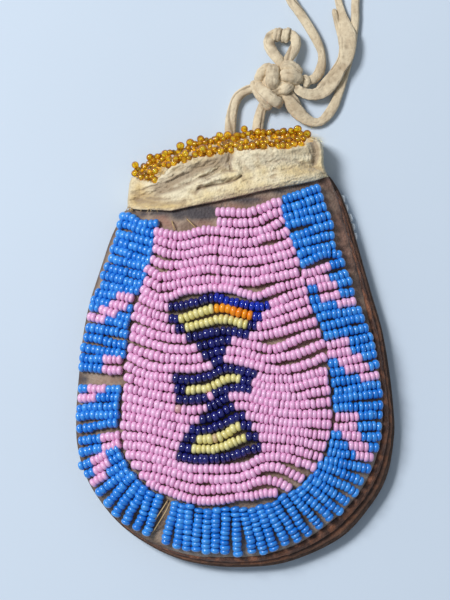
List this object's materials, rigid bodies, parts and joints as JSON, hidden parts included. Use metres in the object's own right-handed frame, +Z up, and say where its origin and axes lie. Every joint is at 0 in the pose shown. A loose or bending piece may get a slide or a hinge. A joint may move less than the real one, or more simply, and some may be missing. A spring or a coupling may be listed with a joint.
{
  "type": "strike-a-light pouch",
  "caption": "Flat U-shaped leather pouch lying on its back, its front beaded in border lanes and wavy rows, with a buckskin cuff edged in amber beads and a knotted thong.",
  "frame": {"origin": "centre of the pouch in plan, without its thong, on the surface that it lies on", "axes": "+X to the right across the pouch, +Y towards its mouth, +Z up out of the beaded front"},
  "size_m": [0.0766, 0.1547, 0.0148],
  "materials": {
    "leather": "dull tanned leather, worn at the edges",
    "rim_leather": "dark, slightly polished by handling",
    "buckskin": "soft matt buckskin, stained and crumpled",
    "thong_buckskin": "soft matt buckskin, twisted",
    "seed_beads": "glossy opaque glass",
    "amber_beads": "glossy clear amber glass"
  },
  "bodies": {
    "root": {"back_panel": "leather", "front_panel": "leather", "seam_welt": "rim_leather", "hide_cuff": "buckskin", "front_rim_beads": "amber_beads", "back_rim_beads": "amber_beads", "thong_knot": "thong_buckskin", "thong_leg_left": "thong_buckskin", "thong_leg_right": "thong_buckskin", "thong_loop": "thong_buckskin", "thong_tail_left": "thong_buckskin", "thong_tail_middle": "thong_buckskin", "thong_tail_right": "thong_buckskin", "bead_row_01": "seed_beads", "bead_row_02": "seed_beads", "bead_row_03": "seed_beads", "bead_row_04": "seed_beads", "bead_row_05": "seed_beads", "bead_row_06": "seed_beads", "bead_row_07": "seed_beads", "bead_row_08": "seed_beads", "bead_row_09": "seed_beads", "bead_row_10": "seed_beads", "bead_row_11": "seed_beads", "bead_row_12": "seed_beads", "bead_row_13": "seed_beads", "bead_row_14": "seed_beads", "bead_row_15": "seed_beads", "bead_row_16": "seed_beads", "bead_row_17": "seed_beads", "bead_row_18": "seed_beads", "bead_row_19": "seed_beads", "bead_row_20": "seed_beads", "bead_row_21": "seed_beads", "bead_row_22": "seed_beads", "bead_row_23": "seed_beads", "bead_row_24": "seed_beads", "bead_row_25": "seed_beads", "bead_row_26": "seed_beads", "bead_row_27": "seed_beads", "bead_row_28": "seed_beads", "bead_row_29": "seed_beads"}
  },
  "joints": []
}
